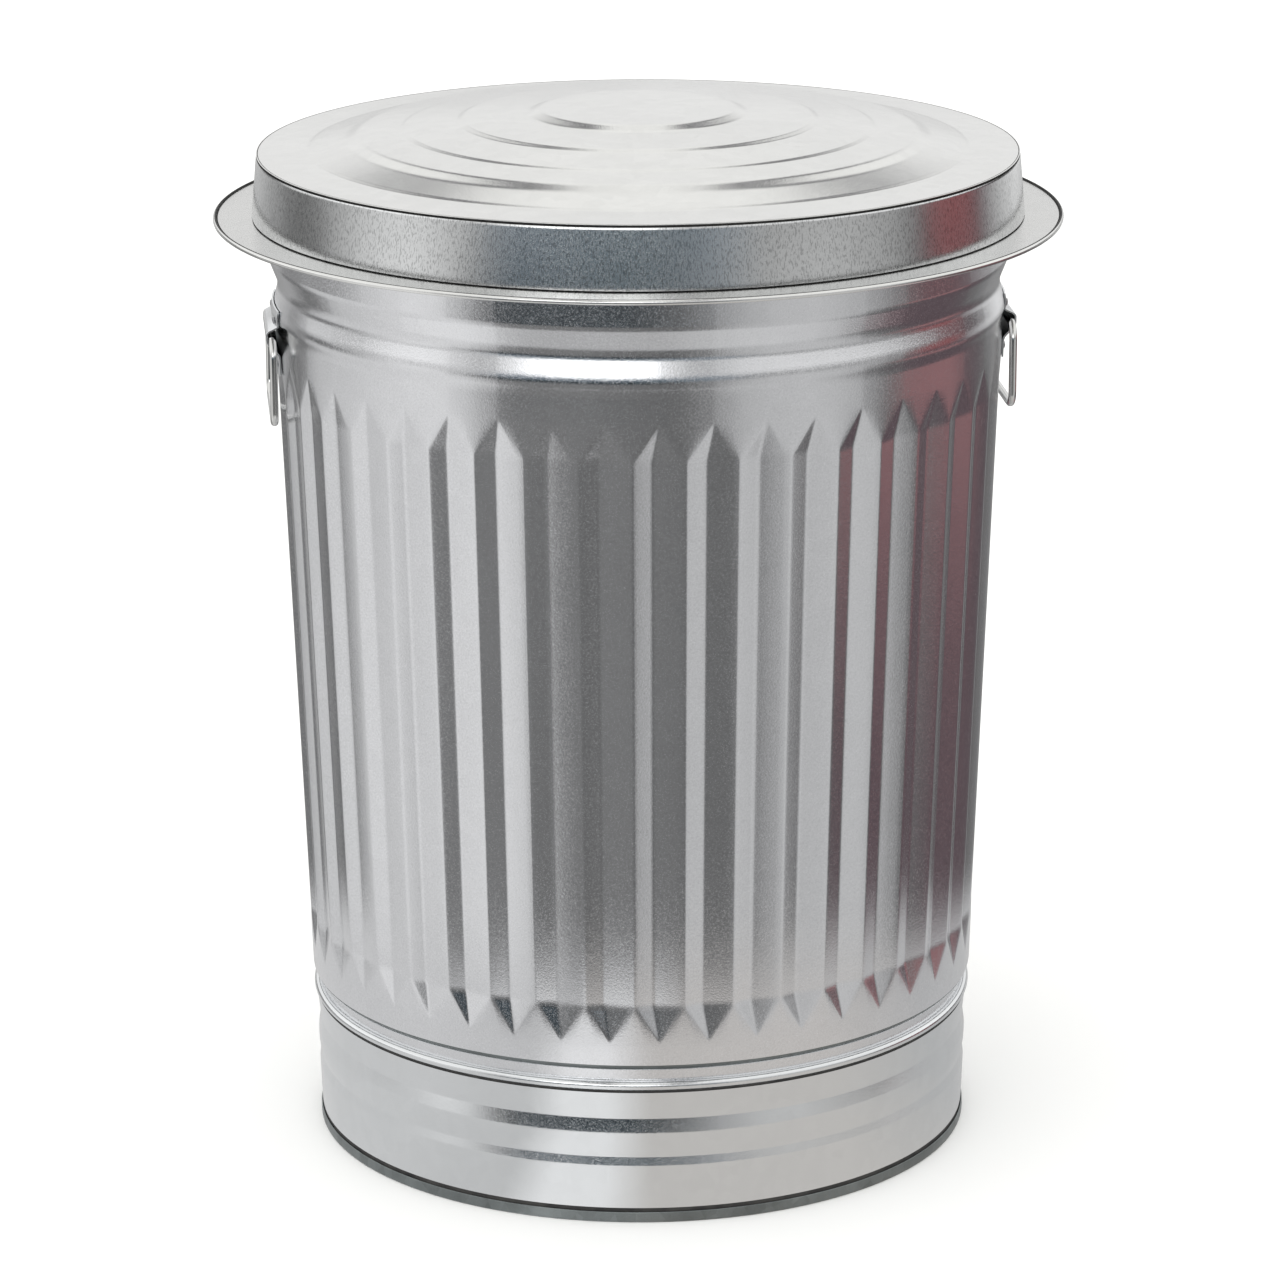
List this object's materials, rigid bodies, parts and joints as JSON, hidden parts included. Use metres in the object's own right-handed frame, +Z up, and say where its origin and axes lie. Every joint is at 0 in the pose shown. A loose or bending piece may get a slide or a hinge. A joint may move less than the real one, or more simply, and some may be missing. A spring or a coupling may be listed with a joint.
{
  "type": "galvanised dustbin",
  "caption": "Tall tapered fluted steel bin with a lift-off flanged lid, a banded foot and a hinged wire drop handle on each side.",
  "frame": {"origin": "centre of the foot ring, on the floor that the can stands on", "axes": "+Z up along the can's axis; the two handles are on +X and -X; the front faces -Y"},
  "size_m": [0.536, 0.536, 0.667],
  "materials": {
    "galvanised_body": "bright galvanised sheet, fine grain",
    "galvanised_lid": "bright galvanised sheet, satin",
    "galvanised_base": "galvanised sheet, satin",
    "dull_zinc": "dull weathered zinc",
    "bright_wire": "bright zinc-plated wire",
    "plain_steel": "plain zinc-plated steel"
  },
  "bodies": {
    "can": {"body_shell": "galvanised_body", "rim_wire": "plain_steel", "base_band": "galvanised_base", "base_pan": "galvanised_base", "foot_ring": "dull_zinc", "handle_bracket_left": "galvanised_base", "handle_bracket_right": "galvanised_base", "rivet_left_lower_front": "plain_steel", "rivet_left_lower_rear": "plain_steel", "rivet_left_upper_front": "plain_steel", "rivet_left_upper_rear": "plain_steel", "rivet_right_lower_front": "plain_steel", "rivet_right_lower_rear": "plain_steel", "rivet_right_upper_front": "plain_steel", "rivet_right_upper_rear": "plain_steel"},
    "lid": {"lid_pan": "galvanised_lid", "lid_edge_wire": "plain_steel"},
    "handle_left": {"handle_left": "bright_wire"},
    "handle_right": {"handle_right": "bright_wire"}
  },
  "joints": [
    {"name": "lid_lift", "type": "slide", "parent": "can", "child": "lid", "axis": [0, 0, 1], "range_m": [0, 0.3]},
    {"name": "handle_left_pivot", "type": "hinge", "parent": "can", "child": "handle_left", "pos_m": [-0.2333, 0, 0.5305], "axis": [0, 1, 0], "range_deg": [0, 165]},
    {"name": "handle_right_pivot", "type": "hinge", "parent": "can", "child": "handle_right", "pos_m": [0.2333, 0, 0.5305], "axis": [0, -1, 0], "range_deg": [0, 165]}
  ]
}
